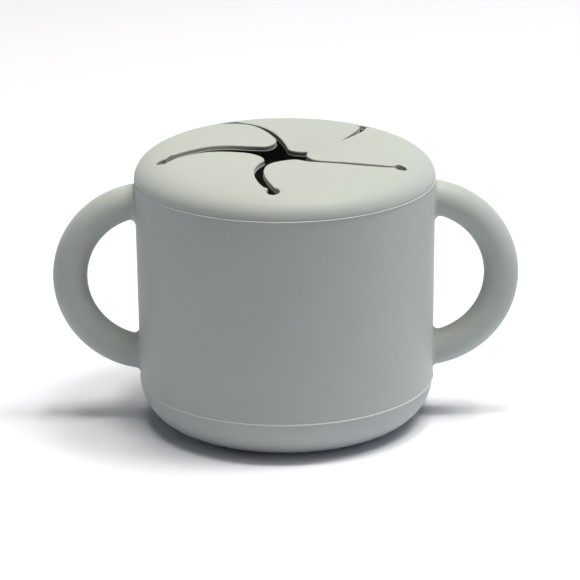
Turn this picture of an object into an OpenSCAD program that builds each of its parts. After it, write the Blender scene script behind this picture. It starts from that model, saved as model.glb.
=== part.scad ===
// Toddler snack cup: a soft two-handled cup with a slitted lid that a small hand can reach through.
// Sizes are in millimetres. The cup stands on Z = 0, its handles lie along X and its front faces -Y.

/* [Cup] */
// Outer diameter of the cup at its rim
rim_d = 84; // [76:0.5:92]
// Height of the rim above the table
rim_h = 70.2; // [62:0.1:80]
// Lean of the wall from upright, in degrees, so that the cup narrows downwards
wall_lean = 0.44; // [0:0.02:1.5]
// Thickness of the wall
wall_t = 3; // [2.4:0.1:4]
// Thickness of the floor
floor_t = 3; // [2:0.1:5]
// Radius of the rounded corner between the wall and the foot
base_corner_r = 12.4; // [8:0.1:16]
// Height of the fine line that the mould leaves round the cup
parting_z = 12; // [11:0.1:18]
// How far the mould's line stands proud of the wall
parting_proud = 0.15; // [0.1:0.05:0.4]
// Width of the mould's line
parting_w = 0.5; // [0.3:0.1:1]

/* [Handles] */
// Radius of a handle's loop, measured to the middle of its round section
loop_r = 22.55; // [20:0.05:24]
// Diameter of a handle's round section
grip_d = 9.7; // [8:0.1:12]
// How far the top of a handle lies below the rim
handle_drop = 1.3; // [0.5:0.1:5]
// How far the loop's centre lies inside the wall's outer face
loop_sink = 3.6; // [1:0.1:6]

/* [Lid] */
// Height of the lid's flat crown above the rim
crown_h = 7.5; // [6.5:0.1:9]
// Radius of the flat crown, where the shoulder starts to fall
crown_flat_r = 30; // [29:0.1:31]
// Radius of the tight arc at the lid's outer edge
edge_r = 4.7; // [4:0.1:5.4]
// Height of the upright band under that arc
edge_band_h = 0.3; // [0.2:0.1:1]
// How far the lid's edge stands out past the cup's wall
edge_proud = 0.05; // [0:0.05:0.4]
// Thickness of the lid's top
lid_t = 1.5; // [1.2:0.1:2]
// Depth of the ring that plugs into the cup
plug_depth = 8; // [5:0.5:12]
// Thickness of that ring
plug_t = 1.9; // [1.4:0.1:2.2]
// Gap between that ring and the cup's wall
plug_gap = 0.1; // [0.05:0.05:0.3]
// Chamfer on the ring's lower outer edge, which leads it in
plug_lead = 0.6; // [0.3:0.1:1]
// Radius of the corner inside the lid, between its top and the ring
under_r = 2.5; // [1.5:0.1:2.8]

/* [Petals] */
// Radius of the arc that each slit follows from its end hole to the middle
slit_arc_r = 30; // [26:0.5:40]
// Width of a slit
slit_w = 1.8; // [1.6:0.1:2.4]
// Distance of the slits' end holes from the middle
slit_end_r = 34.5; // [33.5:0.1:34.8]
// Diameter of a slit's end hole
end_hole_d = 3.6; // [3:0.1:4]
// Turn of the first end hole from the +X side, in degrees
slit_turn = 48.7; // [0:0.1:72]
// Diameter of the opening in the middle, where the slits meet
star_d = 13; // [10:0.5:16]
// How far a petal bends down into the cup, in degrees
bend_in = 60; // [30:5:70]
// How far a petal bends up out of the lid, in degrees
bend_out = 40; // [20:5:60]
// Running gap round the root of a petal
root_gap = 0.05; // [0.03:0.01:0.1]

/* [Hidden] */
$fn = 120;
sage = [0.60, 0.64, 0.60];
pale_sage = [0.66, 0.69, 0.64];
petals = 5;
petal_angle = 360 / petals;
// Room left past a cut, so that no cut ends on a face
over = 1;

// Cup: the wall leans by wall_lean, and both corner arcs touch the floor and the wall
rim_r = rim_d / 2;
function wall_r(z) = rim_r - (rim_h - z) * tan(wall_lean);
function bore_r(z) = wall_r(z) - wall_t / cos(wall_lean);
bore_corner_r = base_corner_r - wall_t;

// Handles: each loop hangs from its top, just under the rim
loop_z = rim_h - handle_drop - grip_d / 2 - loop_r;

// Lid: two arcs, each running on smoothly from the other, join the flat crown to the outer edge
lid_r = rim_r + edge_proud;
shoulder_w = lid_r - crown_flat_r;
shoulder_h = crown_h - edge_band_h;
shoulder_r = (shoulder_w ^ 2 - 2 * shoulder_w * edge_r + shoulder_h ^ 2) / (2 * (shoulder_h - edge_r));
shoulder_turn = atan2(shoulder_r - shoulder_h, shoulder_w - edge_r);
crown_z = rim_h + crown_h;
under_z = crown_z - lid_t;
plug_r = bore_r(rim_h) - plug_gap;
plug_bore_r = bore_r(rim_h - plug_depth) - plug_gap - plug_t;

// Petals: each hinges along the straight line between its two end holes
root_r = slit_end_r * cos(petal_angle / 2);
root_z = crown_z - lid_t / 2;
root_knuckle_r = lid_t / 2;
root_seat_r = root_knuckle_r + root_gap;
// The ring's seat ends where a fully bent petal's faces leave its round root
lip_top = root_seat_r * sin(bend_out) + root_gap;
lip_bottom = root_seat_r * sin(bend_in) + root_gap;

// Slice of a round shape between two angles, as the arc of a profile needs it
module slice(r, from, to) {
    reach = 2 * r;
    intersection() {
        circle(r);
        polygon([[0, 0],
                 [reach * cos(from), reach * sin(from)],
                 [reach * cos((from + to) / 2), reach * sin((from + to) / 2)],
                 [reach * cos(to), reach * sin(to)]]);
    }
}

// Half section of a cup filled solid: foot at z0, wall r1 at height z1, leaning in downwards
module vessel_profile(z0, corner_r, r1, z1) {
    centre_z = z0 + corner_r;
    centre_r = r1 - (z1 - centre_z) * tan(wall_lean) - corner_r / cos(wall_lean);
    polygon([[0, z0],
             [centre_r, z0],
             [centre_r + corner_r * cos(wall_lean), centre_z - corner_r * sin(wall_lean)],
             [r1, z1],
             [0, z1]]);
    translate([centre_r, centre_z]) slice(corner_r, -90, -wall_lean);
}

module cup_outside() {
    rotate_extrude() vessel_profile(0, base_corner_r, rim_r, rim_h);
}

module parting_line() {
    root = wall_r(parting_z) - parting_w;
    rotate_extrude()
        polygon([[root, parting_z - parting_w / 2],
                 [wall_r(parting_z), parting_z - parting_w / 2],
                 [wall_r(parting_z) + parting_proud, parting_z],
                 [wall_r(parting_z), parting_z + parting_w / 2],
                 [root, parting_z + parting_w / 2]]);
}

module cup_body() {
    color(sage) {
        rotate_extrude()
            difference() {
                vessel_profile(0, base_corner_r, rim_r, rim_h);
                vessel_profile(floor_t, bore_corner_r, bore_r(rim_h + over), rim_h + over);
            }
        parting_line();
    }
}

// One loop, cut where it meets the round wall
module handle(side) {
    loop_x = wall_r(loop_z) - loop_sink;
    color(sage)
        difference() {
            mirror([side < 0 ? 1 : 0, 0, 0])
                translate([loop_x, 0, loop_z])
                    rotate([90, 0, 0])
                        rotate([0, 0, -90])
                            rotate_extrude(angle = 180)
                                translate([loop_r, 0]) circle(d = grip_d);
            cup_outside();
        }
}

// Outline of the lid over the rim, filled solid
module lid_dome_profile() {
    edge_x = lid_r - edge_r;
    shoulder_z = crown_h - shoulder_r;
    polygon([[0, 0],
             [lid_r, 0],
             [lid_r, edge_band_h],
             [edge_x + edge_r * cos(shoulder_turn), edge_band_h + edge_r * sin(shoulder_turn)],
             [crown_flat_r, crown_h],
             [0, crown_h]]);
    translate([edge_x, edge_band_h]) slice(edge_r, 0, shoulder_turn);
    intersection() {
        translate([crown_flat_r, shoulder_z]) slice(shoulder_r, shoulder_turn, 90);
        square([lid_r, crown_h]);
    }
}

// Ring that reaches down inside the cup, filled solid
module lid_plug_profile() {
    foot_r = bore_r(rim_h - plug_depth) - plug_gap;
    lead_r = bore_r(rim_h - plug_depth + plug_lead) - plug_gap;
    polygon([[0, -plug_depth],
             [foot_r - plug_lead, -plug_depth],
             [lead_r, plug_lead - plug_depth],
             [plug_r, 0],
             [plug_r, edge_band_h],
             [0, edge_band_h]]);
}

module lid_hollow_profile() {
    low = -plug_depth - over;
    top = crown_h - lid_t;
    translate([0, low]) square([plug_bore_r, top - under_r - low]);
    translate([0, low]) square([plug_bore_r - under_r, top - low]);
    translate([plug_bore_r - under_r, top - under_r]) circle(under_r);
}

// Whole lid before its slits are cut
module lid_blank() {
    translate([0, 0, rim_h])
        rotate_extrude()
            difference() {
                union() {
                    lid_dome_profile();
                    lid_plug_profile();
                }
                lid_hollow_profile();
            }
}

// Disc whose edge is slit number i, grown or shrunk to one side of the slit
module slit_disc(i, grow) {
    half = slit_end_r / 2;
    rotate([0, 0, slit_turn + petal_angle * i])
        translate([half, sqrt(slit_arc_r ^ 2 - half ^ 2)])
            circle(slit_arc_r + grow);
}

module end_hole(i) {
    rotate([0, 0, slit_turn + petal_angle * i])
        translate([slit_end_r, 0]) circle(d = end_hole_d);
}

// Straight-sided opening whose sides run from end hole to end hole, grown by one lip
module root_opening(lip) {
    rotate([0, 0, slit_turn])
        circle((root_r + lip) / cos(petal_angle / 2), $fn = petals);
}

// Round bar along the root of petal number i
module root_bar(i, r) {
    half = slit_end_r * sin(petal_angle / 2);
    rotate([0, 0, slit_turn + petal_angle * (i + 0.5)])
        translate([root_r, 0, root_z])
            rotate([90, 0, 0])
                cylinder(h = 2 * half, r = r, center = true);
}

module lid_ring() {
    color(pale_sage)
        difference() {
            lid_blank();
            translate([0, 0, root_z])
                linear_extrude(lid_t + over) root_opening(lip_top);
            translate([0, 0, root_z - lid_t - over])
                linear_extrude(lid_t + over) root_opening(lip_bottom);
            for (i = [0 : petals - 1]) {
                root_bar(i, root_seat_r);
                translate([0, 0, under_z - under_r])
                    linear_extrude(crown_h) end_hole(i);
            }
        }
}

// Plan of petal number i: inside its own slit's arc and outside the next one's
module petal_plan(i) {
    difference() {
        slit_disc(i, -slit_w / 2);
        slit_disc(i + 1, slit_w / 2);
        circle(d = star_d);
        end_hole(i);
        end_hole(i + 1);
    }
}

module petal(i) {
    reach = slit_end_r + over;
    color(pale_sage)
        intersection() {
            lid_blank();
            translate([0, 0, under_z - over])
                linear_extrude(lid_t + 2 * over) petal_plan(i);
            union() {
                rotate([0, 0, slit_turn + petal_angle * (i + 0.5)])
                    translate([root_r - reach, -reach, under_z - over])
                        cube([reach, 2 * reach, lid_t + 2 * over]);
                root_bar(i, root_knuckle_r);
            }
        }
}

cup_body();
handle(-1);  // handle_left
handle(1);  // handle_right
lid_ring();
petal(0);  // petal_1
petal(1);  // petal_2
petal(2);  // petal_3
petal(3);  // petal_4
petal(4);  // petal_5
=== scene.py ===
"""Looks of a soft two-handled toddler snack cup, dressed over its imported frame.

The real thing is two silicone mouldings: a cup with a loop handle on each side, and a lid
whose crown is cut into five petals. Every visible piece here is a closed surface worked out
on a grid of points. Lengths in the classes are in millimetres, in the frame's own axes:
Z up, handles along X, front towards -Y. Meshes are made in metres.
"""

import logging
import math
from collections.abc import Callable
from dataclasses import dataclass, field
from enum import Enum

import bmesh
import bpy
import numpy as np
from mathutils import Matrix, Vector

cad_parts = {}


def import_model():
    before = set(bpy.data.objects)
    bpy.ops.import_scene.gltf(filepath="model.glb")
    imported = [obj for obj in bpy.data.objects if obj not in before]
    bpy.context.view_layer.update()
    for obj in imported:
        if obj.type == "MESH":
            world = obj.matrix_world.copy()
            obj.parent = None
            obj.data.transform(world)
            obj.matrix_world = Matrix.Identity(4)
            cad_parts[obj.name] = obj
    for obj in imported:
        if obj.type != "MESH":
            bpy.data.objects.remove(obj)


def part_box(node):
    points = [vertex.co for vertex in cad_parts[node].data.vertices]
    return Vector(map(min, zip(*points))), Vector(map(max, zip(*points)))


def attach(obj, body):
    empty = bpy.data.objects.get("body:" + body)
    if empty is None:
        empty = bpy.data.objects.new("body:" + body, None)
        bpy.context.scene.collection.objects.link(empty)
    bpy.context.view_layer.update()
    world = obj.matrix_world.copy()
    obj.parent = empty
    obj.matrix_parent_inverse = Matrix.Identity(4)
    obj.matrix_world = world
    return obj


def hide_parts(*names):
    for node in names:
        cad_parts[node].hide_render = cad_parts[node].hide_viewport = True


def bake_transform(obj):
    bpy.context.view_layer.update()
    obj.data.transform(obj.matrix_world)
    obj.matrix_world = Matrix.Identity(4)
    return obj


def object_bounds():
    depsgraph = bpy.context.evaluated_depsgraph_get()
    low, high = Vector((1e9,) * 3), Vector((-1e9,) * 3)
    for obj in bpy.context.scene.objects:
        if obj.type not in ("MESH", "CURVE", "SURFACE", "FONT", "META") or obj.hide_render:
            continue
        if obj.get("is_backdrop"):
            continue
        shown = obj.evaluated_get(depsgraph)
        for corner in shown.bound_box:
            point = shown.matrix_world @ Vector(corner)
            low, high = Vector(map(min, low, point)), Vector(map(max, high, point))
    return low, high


Array = np.ndarray
LOG = logging.getLogger("snack_cup")
MM = 0.001
FULL_TURN = 2 * math.pi


class Side(Enum):
    """Which side of the cup a handle stands on."""

    LEFT = -1
    RIGHT = 1


class Turn(Enum):
    """Which way an arc runs, seen from above."""

    LEFT = 1
    RIGHT = -1


def polar(radius: Array | float, angle: Array | float) -> Array:
    """Plan points at a radius and an angle from +X: (radius cos angle, radius sin angle).

    Args:
        radius: Distance from the middle, one or many.
        angle: Angle in radians, one or many.

    Returns:
        Points with x and y on the last axis.
    """
    x, y = np.broadcast_arrays(radius * np.cos(angle), radius * np.sin(angle))
    return np.stack([x, y], axis=-1)


def turned(points: Array, angle: float) -> Array:
    """Plan points turned about the middle by an angle in radians.

    Args:
        points: Plan points, x and y on the last axis.
        angle: Angle in radians, to the left.

    Returns:
        The turned points.
    """
    c, s = math.cos(angle), math.sin(angle)
    return points @ np.array([[c, s], [-s, c]])


def unit(way: Array) -> Array:
    """A plan vector scaled to a length of 1."""
    return way / np.hypot(*way)


def crossing(centre_a: Array, radius_a: float, centre_b: Array, radius_b: float) -> Array:
    """Where circle a crosses circle b, on the left of the way from a's centre to b's.

    The crossing lies along the line of centres by (s^2 + a^2 - b^2) / 2s, where s is the
    distance between the centres, and beside it by what Pythagoras leaves of radius a.

    Args:
        centre_a: Centre of circle a.
        radius_a: Radius of circle a.
        centre_b: Centre of circle b.
        radius_b: Radius of circle b.

    Returns:
        The crossing point.
    """
    way = centre_b - centre_a
    span = float(np.hypot(*way))
    along = (span**2 + radius_a**2 - radius_b**2) / (2 * span)
    beside = math.sqrt(max(radius_a**2 - along**2, 0.0))
    ahead = way / span
    return centre_a + along * ahead + beside * np.array([-ahead[1], ahead[0]])


def smooth_step(value: Array) -> Array:
    """Eases from 0 to 1 as the value goes from 0 to 1: 3v^2 - 2v^3, held at both ends."""
    held = np.clip(value, 0.0, 1.0)
    return held * held * (3 - 2 * held)


@dataclass
class Path:
    """A stretch of a plan outline.

    Attributes:
        points: Plan points in order.
        inward: Unit vectors at those points, towards the left of the path.
    """

    points: Array
    inward: Array

    @classmethod
    def arc(cls, centre: Array, start: Array, end: Array, turn: Turn, spacing: float) -> "Path":
        """Part of a circle about a centre, from one point on it to another.

        Args:
            centre: The circle's centre.
            start: First point.
            end: Last point.
            turn: Which way the arc runs round its centre.
            spacing: Greatest distance between neighbouring points.

        Returns:
            The arc as a path.
        """
        radius = float(np.hypot(*(start - centre)))
        first = math.atan2(*(start - centre)[::-1])
        last = math.atan2(*(end - centre)[::-1])
        sweep = (last - first) * turn.value % FULL_TURN
        count = max(4, math.ceil(sweep * radius / spacing) + 1)
        angles = first + turn.value * np.linspace(0, sweep, count)
        outwards = polar(1.0, angles)
        return cls(centre + radius * outwards, -turn.value * outwards)

    @classmethod
    def line(cls, start: Array, end: Array, count: int) -> "Path":
        """A straight stretch of evenly spaced points, both ends included.

        Args:
            start: First point.
            end: Last point.
            count: Number of points.

        Returns:
            The line as a path.
        """
        share = np.linspace(0, 1, count)[:, None]
        ahead = unit(end - start)
        inward = np.array([-ahead[1], ahead[0]])
        return cls(start + share * (end - start), np.broadcast_to(inward, (count, 2)).copy())

    def turned(self, angle: float) -> "Path":
        """The same path turned about the middle by an angle in radians."""
        return Path(turned(self.points, angle), turned(self.inward, angle))


@dataclass
class Skin:
    """One piece's whole surface, as a grid of points.

    Attributes:
        points: Rows by columns by 3, in millimetres.
        normals: Outward normals where they are known exactly, and zero elsewhere.
        painted_light_and_shade: How much painted highlight each point shows, up to 1, or if
        it is negative, how much painted shade.
    """

    points: Array
    normals: Array
    painted_light_and_shade: Array

    def build(self, name: str, body: str, finish: "Silicone", *nodes: str) -> bpy.types.Object:
        """Makes the mesh, closes its seams and poles, and hangs it on the frame.

        Corner normals are the exact ones wherever a face lies within about 25 degrees of
        them, so that two pieces that share an edge shade as one surface.

        Args:
            name: Name of the piece.
            body: CAD body that it rides on, or an empty string to leave it unattached.
            finish: Its finish.
            *nodes: CAD nodes that it stands for.

        Returns:
            The piece.
        """
        corners = (self.points * MM).reshape(-1, 3)
        quads = grid_faces(*self.points.shape[:2])
        if enclosed_volume(corners, quads) < 0:
            quads = quads[:, ::-1]
        mesh = bpy.data.meshes.new(name)
        mesh.vertices.add(len(corners))
        mesh.vertices.foreach_set("co", corners.astype(np.float32).ravel())
        mesh.loops.add(quads.size)
        mesh.loops.foreach_set("vertex_index", quads.astype(np.int32).ravel())
        mesh.polygons.add(len(quads))
        mesh.polygons.foreach_set("loop_start", np.arange(0, quads.size, 4, dtype=np.int32))
        mesh.update(calc_edges=True)
        # Stores each point's painted highlight and painted shade for the material.
        painted_light_and_shade = mesh.attributes.new("painted_light_and_shade", "FLOAT", "POINT")
        painted_light_and_shade.data.foreach_set("value", self.painted_light_and_shade.astype(np.float32).ravel())
        exact = mesh.attributes.new("exact", "FLOAT_VECTOR", "POINT")
        exact.data.foreach_set("vector", self.normals.astype(np.float32).ravel())
        weld(mesh)
        set_corner_normals(mesh)
        mesh.materials.append(finish.material())
        piece = placed(name, mesh)
        if body:
            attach(piece, body)
        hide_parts(*nodes)
        LOG.info("%s: %d faces, stands for %s", name, len(mesh.polygons), ", ".join(nodes))
        return piece


def placed(name: str, data: bpy.types.ID) -> bpy.types.Object:
    """Makes an object and links it to the scene.

    Args:
        name: Its name.
        data: The mesh, lamp or camera that it holds.

    Returns:
        The object.
    """
    made = bpy.data.objects.new(name, data)
    bpy.context.scene.collection.objects.link(made)
    return made


def grid_faces(rows: int, columns: int) -> Array:
    """Four-cornered faces of a grid whose points are numbered row by row.

    Args:
        rows: Number of rows.
        columns: Number of columns.

    Returns:
        Corner numbers, one face a line.
    """
    index = np.arange(rows * columns).reshape(rows, columns)
    corners = [index[:-1, :-1], index[1:, :-1], index[1:, 1:], index[:-1, 1:]]
    return np.stack(corners, axis=-1).reshape(-1, 4)


def enclosed_volume(corners: Array, quads: Array) -> float:
    """Signed volume inside closed faces: the sum of a . (b x c) / 6 over their triangles.

    Args:
        corners: Points.
        quads: Corner numbers, four to a face.

    Returns:
        The volume, negative if the faces point inwards.
    """
    a, b, c, d = (corners[quads[:, k]] for k in range(4))
    return float(np.einsum("ij,ij->", a, np.cross(b, c) + np.cross(c, d)) / 6)


def weld(mesh: bpy.types.Mesh) -> None:
    """Joins a mesh's points that lie together, which closes its seams and poles.

    Args:
        mesh: The mesh, changed in place.
    """
    touching = 1e-7
    shaped = bmesh.new()
    shaped.from_mesh(mesh)
    bmesh.ops.remove_doubles(shaped, verts=shaped.verts, dist=touching)
    bmesh.ops.dissolve_degenerate(shaped, edges=shaped.edges, dist=touching)
    shaped.to_mesh(mesh)
    shaped.free()


def set_corner_normals(mesh: bpy.types.Mesh) -> None:
    """Shades a mesh smoothly, sharp past 35 degrees, and by its exact normals where it has them.

    Args:
        mesh: The mesh, changed in place. Its attribute of exact normals is used up.
    """
    sharp_past, follows = math.radians(35), math.cos(math.radians(25))
    mesh.shade_smooth()
    mesh.set_sharp_from_angle(angle=sharp_past)
    loops, faces = len(mesh.loops), len(mesh.polygons)
    vertex = np.empty(loops, np.int32)
    mesh.loops.foreach_get("vertex_index", vertex)
    sides = np.empty(faces, np.int32)
    mesh.polygons.foreach_get("loop_total", sides)
    facing = np.empty(faces * 3, np.float32)
    mesh.polygons.foreach_get("normal", facing)
    exact = np.empty(len(mesh.vertices) * 3, np.float32)
    mesh.attributes["exact"].data.foreach_get("vector", exact)
    wanted = exact.reshape(-1, 3)[vertex]
    of_face = np.repeat(facing.reshape(-1, 3), sides, axis=0)
    near = np.einsum("ij,ij->i", wanted, of_face) > follows
    mesh.normals_split_custom_set(np.where(near[:, None], wanted, 0.0))
    mesh.attributes.remove(mesh.attributes["exact"])


def revolved(profile: Array, sides: int) -> Array:
    """A profile of (radius, height) points spun about Z, with its first column repeated last.

    Args:
        profile: Profile points, one a line.
        sides: Number of steps round.

    Returns:
        Grid of points, profile points by steps.
    """
    plan = polar(profile[:, :1], np.linspace(0, FULL_TURN, sides + 1)[None, :])
    height = np.broadcast_to(profile[:, 1:], plan.shape[:2])
    return np.concatenate([plan, height[..., None]], axis=-1)


def profile_arc(
    centre: tuple[float, float], radius: float, start: float, end: float, count: int
) -> Array:
    """Profile points on an arc: the centre plus radius times (cos, sin) of each angle.

    Args:
        centre: Radius and height of the arc's centre.
        radius: Radius of the arc.
        start: First angle in degrees from outwards.
        end: Last angle in degrees.
        count: Number of points.

    Returns:
        The points, one a line.
    """
    return np.array(centre) + polar(radius, np.radians(np.linspace(start, end, count)))


class Value:
    """A number that varies over a surface. Its arithmetic adds Math nodes."""

    def __init__(self, graph: "Graph", socket: bpy.types.NodeSocket) -> None:
        """Wraps one output socket of a node in a graph."""
        self.graph = graph
        self.socket = socket

    def _math(self, operation: str, *terms: "Value | float") -> "Value":
        """Adds a Math node of that operation on those terms."""
        return self.graph.number("ShaderNodeMath", {"operation": operation}, dict(enumerate(terms)))

    def __add__(self, other: "Value | float") -> "Value":
        """This plus the other."""
        return self._math("ADD", self, other)

    def __radd__(self, other: "Value | float") -> "Value":
        """The other plus this."""
        return self._math("ADD", other, self)

    def __sub__(self, other: "Value | float") -> "Value":
        """This minus the other."""
        return self._math("SUBTRACT", self, other)

    def __rsub__(self, other: "Value | float") -> "Value":
        """The other minus this."""
        return self._math("SUBTRACT", other, self)

    def __mul__(self, other: "Value | float") -> "Value":
        """This times the other."""
        return self._math("MULTIPLY", self, other)

    def __rmul__(self, other: "Value | float") -> "Value":
        """The other times this."""
        return self._math("MULTIPLY", other, self)

    def largest(self, other: "Value | float") -> "Value":
        """The larger of this and the other."""
        return self._math("MAXIMUM", self, other)


@dataclass
class Graph:
    """A material's or world's node tree, emptied and ready to be built.

    Attributes:
        tree: The node tree.
    """

    tree: bpy.types.NodeTree

    def __post_init__(self) -> None:
        """Clears the tree."""
        self.tree.nodes.clear()

    def node(
        self, kind: str, settings: dict | None = None, inputs: dict | None = None
    ) -> bpy.types.Node:
        """Adds a node.

        Args:
            kind: The node's type name.
            settings: Its settings, set first.
            inputs: Values or links by socket name or number.

        Returns:
            The node.
        """
        made = self.tree.nodes.new(kind)
        for name, value in (settings or {}).items():
            setattr(made, name, value)
        for key, value in (inputs or {}).items():
            if isinstance(value, Value):
                value = value.socket
            if isinstance(value, bpy.types.NodeSocket):
                self.tree.links.new(value, made.inputs[key])
            else:
                made.inputs[key].default_value = value
        return made

    def number(
        self,
        kind: str,
        settings: dict | None = None,
        inputs: dict | None = None,
        out: int | str = 0,
    ) -> Value:
        """Adds a node and wraps one of its outputs as a Value.

        Args:
            kind: The node's type name.
            settings: Its settings.
            inputs: Values or links by socket name or number.
            out: The output's name or number.

        Returns:
            That output.
        """
        return Value(self, self.node(kind, settings, inputs).outputs[out])

    def noise(self, size: float, detail: float, roughness: float) -> Value:
        """Adds noise on Object coordinates.

        Args:
            size: Size of its features, in millimetres.
            detail: Its finer layers.
            roughness: How strong those are.

        Returns:
            The noise's value, 0.5 on average.
        """
        place = self.node("ShaderNodeTexCoord").outputs["Object"]
        inputs = {"Vector": place, "Scale": 1 / (size * MM), "Detail": detail}
        return self.number("ShaderNodeTexNoise", None, {**inputs, "Roughness": roughness})

    def looked_at(self) -> Value:
        """Tells what is seen from what only gives light.

        Returns:
            1 on what the camera sees, directly or in a reflection, and 0 elsewhere.
        """
        path = self.node("ShaderNodeLightPath")
        seen = Value(self, path.outputs["Is Camera Ray"])
        for kind in ("Is Glossy Ray", "Is Transmission Ray"):
            seen = seen.largest(Value(self, path.outputs[kind]))
        return seen

    def blended(
        self,
        share: Value,
        first: tuple | bpy.types.NodeSocket,
        second: tuple | bpy.types.NodeSocket,
    ) -> bpy.types.NodeSocket:
        """A colour that goes from the first to the second as the share goes from 0 to 1.

        Args:
            share: How much of the second colour shows.
            first: A colour or a colour socket.
            second: The same.

        Returns:
            The mixed colour's socket.
        """
        mix = self.node("ShaderNodeMix", {"data_type": "RGBA"}, {0: share, 6: first, 7: second})
        return mix.outputs[2]


def linear(red: float, green: float, blue: float) -> tuple[float, float, float, float]:
    """A display colour as linear light: s / 12.92, or past the knee ((s + 0.055) / 1.055)^2.4.

    Args:
        red: Red from 0 to 255.
        green: Green from 0 to 255.
        blue: Blue from 0 to 255.

    Returns:
        The colour with full alpha.
    """
    full, knee, slope, offset, power = 255, 0.04045, 12.92, 0.055, 2.4
    shown = [level / full for level in (red, green, blue)]
    light = [s / slope if s <= knee else ((s + offset) / (1 + offset)) ** power for s in shown]
    return (*light, 1.0)


@dataclass(frozen=True)
class Silicone:
    """Matte, powdery food-grade silicone in a grey sage.

    Attributes:
        name: Name of the material.
        slot: Name of a material slot, which is not used.
        shade: Colour where the pigment lies a little thicker.
        tint: Colour where it lies a little thinner.
        edge: Colour of the painted highlight on the flash lips and the cuts' rounded edges.
        painted_shade_tone: Colour of the painted shade far down the cuts and in the lid's plug,
            where little light reaches.
        roughness: Mean roughness.
        cloud: Size of the pigment's clouds, in millimetres.
        grain: Size of the matte tooth, in millimetres.
        tooth: Depth of that tooth, in millimetres.
    """

    name: str
    slot: str
    shade: tuple
    tint: tuple
    edge: tuple
    painted_shade_tone: tuple
    roughness: float = 0.56
    cloud: float = 14.0
    grain: float = 0.35
    tooth: float = 0.004

    def material(self) -> bpy.types.Material:
        """The finish as a material, made once and then shared.

        Pigment clouds and a fine grain mix its two tones. A piece's attribute of painted light
        and shade turns that to the painted highlight's colour above 0, and to the painted shade's
        tone below.

        Returns:
            The material.
        """
        made = bpy.data.materials.get(self.name)
        if made is not None:
            return made
        made = bpy.data.materials.new(self.name)
        made.use_nodes = True
        graph = Graph(made.node_tree)
        clouds = graph.noise(self.cloud, 3.0, 0.55)
        grain = graph.noise(self.grain, 2.0, 0.5)
        # Painted highlight above 0 and painted shade below 0, read from the piece's attribute.
        painted_light_and_shade = graph.number("ShaderNodeAttribute", {"attribute_name": "painted_light_and_shade"}, out="Fac")
        cloudy, mean = 0.8, 0.5
        pigment = graph.blended(clouds * cloudy + grain * (1 - cloudy), self.shade, self.tint)
        colour = graph.blended(0 - painted_light_and_shade, graph.blended(painted_light_and_shade, pigment, self.edge), self.painted_shade_tone)
        by_cloud, by_grain = 0.10, 0.08
        rough = self.roughness + (clouds - mean) * by_cloud + (grain - mean) * by_grain
        bump = graph.node(
            "ShaderNodeBump", None, {"Strength": 1.0, "Distance": self.tooth * MM, "Height": grain}
        )
        shader = graph.node(
            "ShaderNodeBsdfPrincipled",
            None,
            {
                "Base Color": colour,
                "Roughness": rough,
                "Normal": bump.outputs["Normal"],
                "IOR": 1.41,
                "Sheen Weight": 0.12,
                "Sheen Roughness": 0.5,
            },
        )
        graph.node("ShaderNodeOutputMaterial", None, {"Surface": shader.outputs[0]})
        return made


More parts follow.
